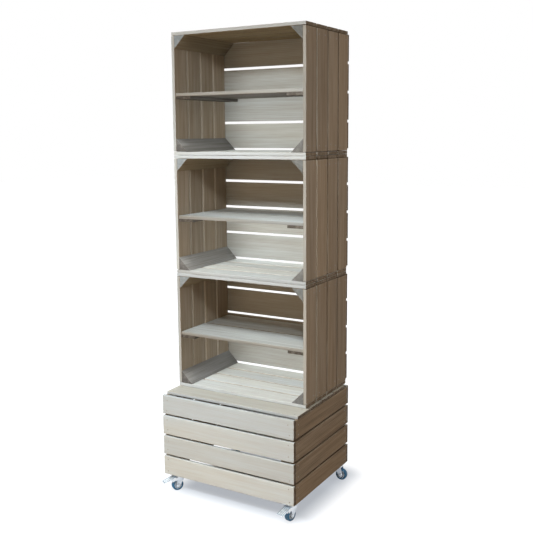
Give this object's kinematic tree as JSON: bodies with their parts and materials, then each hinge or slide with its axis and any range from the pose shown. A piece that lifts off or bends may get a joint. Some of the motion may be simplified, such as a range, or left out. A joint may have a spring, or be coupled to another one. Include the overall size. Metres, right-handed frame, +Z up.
{
  "type": "crate display rack",
  "caption": "Free-standing display rack: open slatted wooden crates with shelves, stacked on a crate base that rolls on swivel casters, the front ones with brakes.",
  "frame": {"origin": "on the floor, below the middle of the whole outline", "axes": "+Z up, the crates open towards -Y, +X to the right as seen from the front"},
  "size_m": [0.5182, 0.4424, 1.5462],
  "materials": {
    "crate_wood": "grey-washed rough softwood, matt",
    "base_wood": "grey-washed rough softwood, matt",
    "back_slat_wood": "grey-washed rough softwood, matt",
    "shelf_wood": "grey-washed rough softwood, matt",
    "bearer_wood": "plain rough softwood, matt",
    "tyre": "smooth blue-grey rubber",
    "hub": "grey moulded plastic",
    "axle_steel": "bright plated steel",
    "zinc_steel": "bright zinc-plated pressed steel"
  },
  "bodies": {
    "stand": {"base_front_slats": "base_wood", "base_right_slats": "base_wood", "base_back_slats": "base_wood", "base_left_slats": "base_wood", "base_top_board_1": "base_wood", "base_top_board_2": "base_wood", "base_top_board_3": "base_wood", "base_top_board_4": "base_wood", "base_front_caster_bearer": "bearer_wood", "base_back_caster_bearer": "bearer_wood", "upper_crate_top_slats": "crate_wood", "upper_crate_right_slats": "crate_wood", "upper_crate_bottom_slats": "crate_wood", "upper_crate_left_slats": "crate_wood", "upper_crate_back_slat_1": "back_slat_wood", "upper_crate_back_slat_2": "back_slat_wood", "upper_crate_back_slat_3": "back_slat_wood", "upper_crate_back_slat_4": "back_slat_wood", "upper_crate_shelf": "shelf_wood", "middle_crate_top_slats": "crate_wood", "middle_crate_right_slats": "crate_wood", "middle_crate_bottom_slats": "crate_wood", "middle_crate_left_slats": "crate_wood", "middle_crate_back_slat_1": "back_slat_wood", "middle_crate_back_slat_2": "back_slat_wood", "middle_crate_back_slat_3": "back_slat_wood", "middle_crate_back_slat_4": "back_slat_wood", "middle_crate_shelf": "shelf_wood", "lower_crate_top_slats": "crate_wood", "lower_crate_right_slats": "crate_wood", "lower_crate_bottom_slats": "crate_wood", "lower_crate_left_slats": "crate_wood", "lower_crate_back_slat_1": "back_slat_wood", "lower_crate_back_slat_2": "back_slat_wood", "lower_crate_back_slat_3": "back_slat_wood", "lower_crate_back_slat_4": "back_slat_wood", "lower_crate_shelf": "shelf_wood", "caster_front_left_plate": "zinc_steel", "caster_front_right_plate": "zinc_steel", "caster_back_left_plate": "zinc_steel", "caster_back_right_plate": "zinc_steel"},
    "front_left_fork": {"caster_front_left_fork": "zinc_steel", "caster_front_left_axle": "axle_steel"},
    "front_left_wheel": {"caster_front_left_hub": "hub", "caster_front_left_tyre": "tyre"},
    "front_left_pedal": {"caster_front_left_brake_pedal": "zinc_steel"},
    "front_right_fork": {"caster_front_right_fork": "zinc_steel", "caster_front_right_axle": "axle_steel"},
    "front_right_wheel": {"caster_front_right_hub": "hub", "caster_front_right_tyre": "tyre"},
    "front_right_pedal": {"caster_front_right_brake_pedal": "zinc_steel"},
    "back_left_fork": {"caster_back_left_fork": "zinc_steel", "caster_back_left_axle": "axle_steel"},
    "back_left_wheel": {"caster_back_left_hub": "hub", "caster_back_left_tyre": "tyre"},
    "back_right_fork": {"caster_back_right_fork": "zinc_steel", "caster_back_right_axle": "axle_steel"},
    "back_right_wheel": {"caster_back_right_hub": "hub", "caster_back_right_tyre": "tyre"}
  },
  "joints": [
    {"name": "front_left_swivel", "type": "hinge", "parent": "stand", "child": "front_left_fork", "pos_m": [-0.21314, -0.15664, 0.05], "axis": [0, 0, 1], "continuous": true},
    {"name": "front_left_wheel_spin", "type": "hinge", "parent": "front_left_fork", "child": "front_left_wheel", "pos_m": [-0.21967, -0.16671, 0.02], "axis": [0.8387, -0.5446, 0], "continuous": true},
    {"name": "front_left_brake", "type": "hinge", "parent": "front_left_fork", "child": "front_left_pedal", "pos_m": [-0.22621, -0.17677, 0.043], "axis": [0.8387, -0.5446, 0], "range_deg": [0, 8]},
    {"name": "front_right_swivel", "type": "hinge", "parent": "stand", "child": "front_right_fork", "pos_m": [0.22686, -0.15664, 0.05], "axis": [0, 0, 1], "continuous": true},
    {"name": "front_right_wheel_spin", "type": "hinge", "parent": "front_right_fork", "child": "front_right_wheel", "pos_m": [0.22458, -0.16842, 0.02], "axis": [0.9816, -0.1908, 0], "continuous": true},
    {"name": "front_right_brake", "type": "hinge", "parent": "front_right_fork", "child": "front_right_pedal", "pos_m": [0.22229, -0.1802, 0.043], "axis": [0.9816, -0.1908, 0], "range_deg": [0, 8]},
    {"name": "back_left_swivel", "type": "hinge", "parent": "stand", "child": "back_left_fork", "pos_m": [-0.21314, 0.18536, 0.05], "axis": [0, 0, 1], "continuous": true},
    {"name": "back_left_wheel_spin", "type": "hinge", "parent": "back_left_fork", "child": "back_left_wheel", "pos_m": [-0.20217, 0.18048, 0.02], "axis": [0.4067, 0.9135, 0], "continuous": true},
    {"name": "back_right_swivel", "type": "hinge", "parent": "stand", "child": "back_right_fork", "pos_m": [0.22686, 0.18536, 0.05], "axis": [0, 0, 1], "continuous": true},
    {"name": "back_right_wheel_spin", "type": "hinge", "parent": "back_right_fork", "child": "back_right_wheel", "pos_m": [0.23885, 0.18598, 0.02], "axis": [-0.0523, 0.9986, 0], "continuous": true}
  ]
}
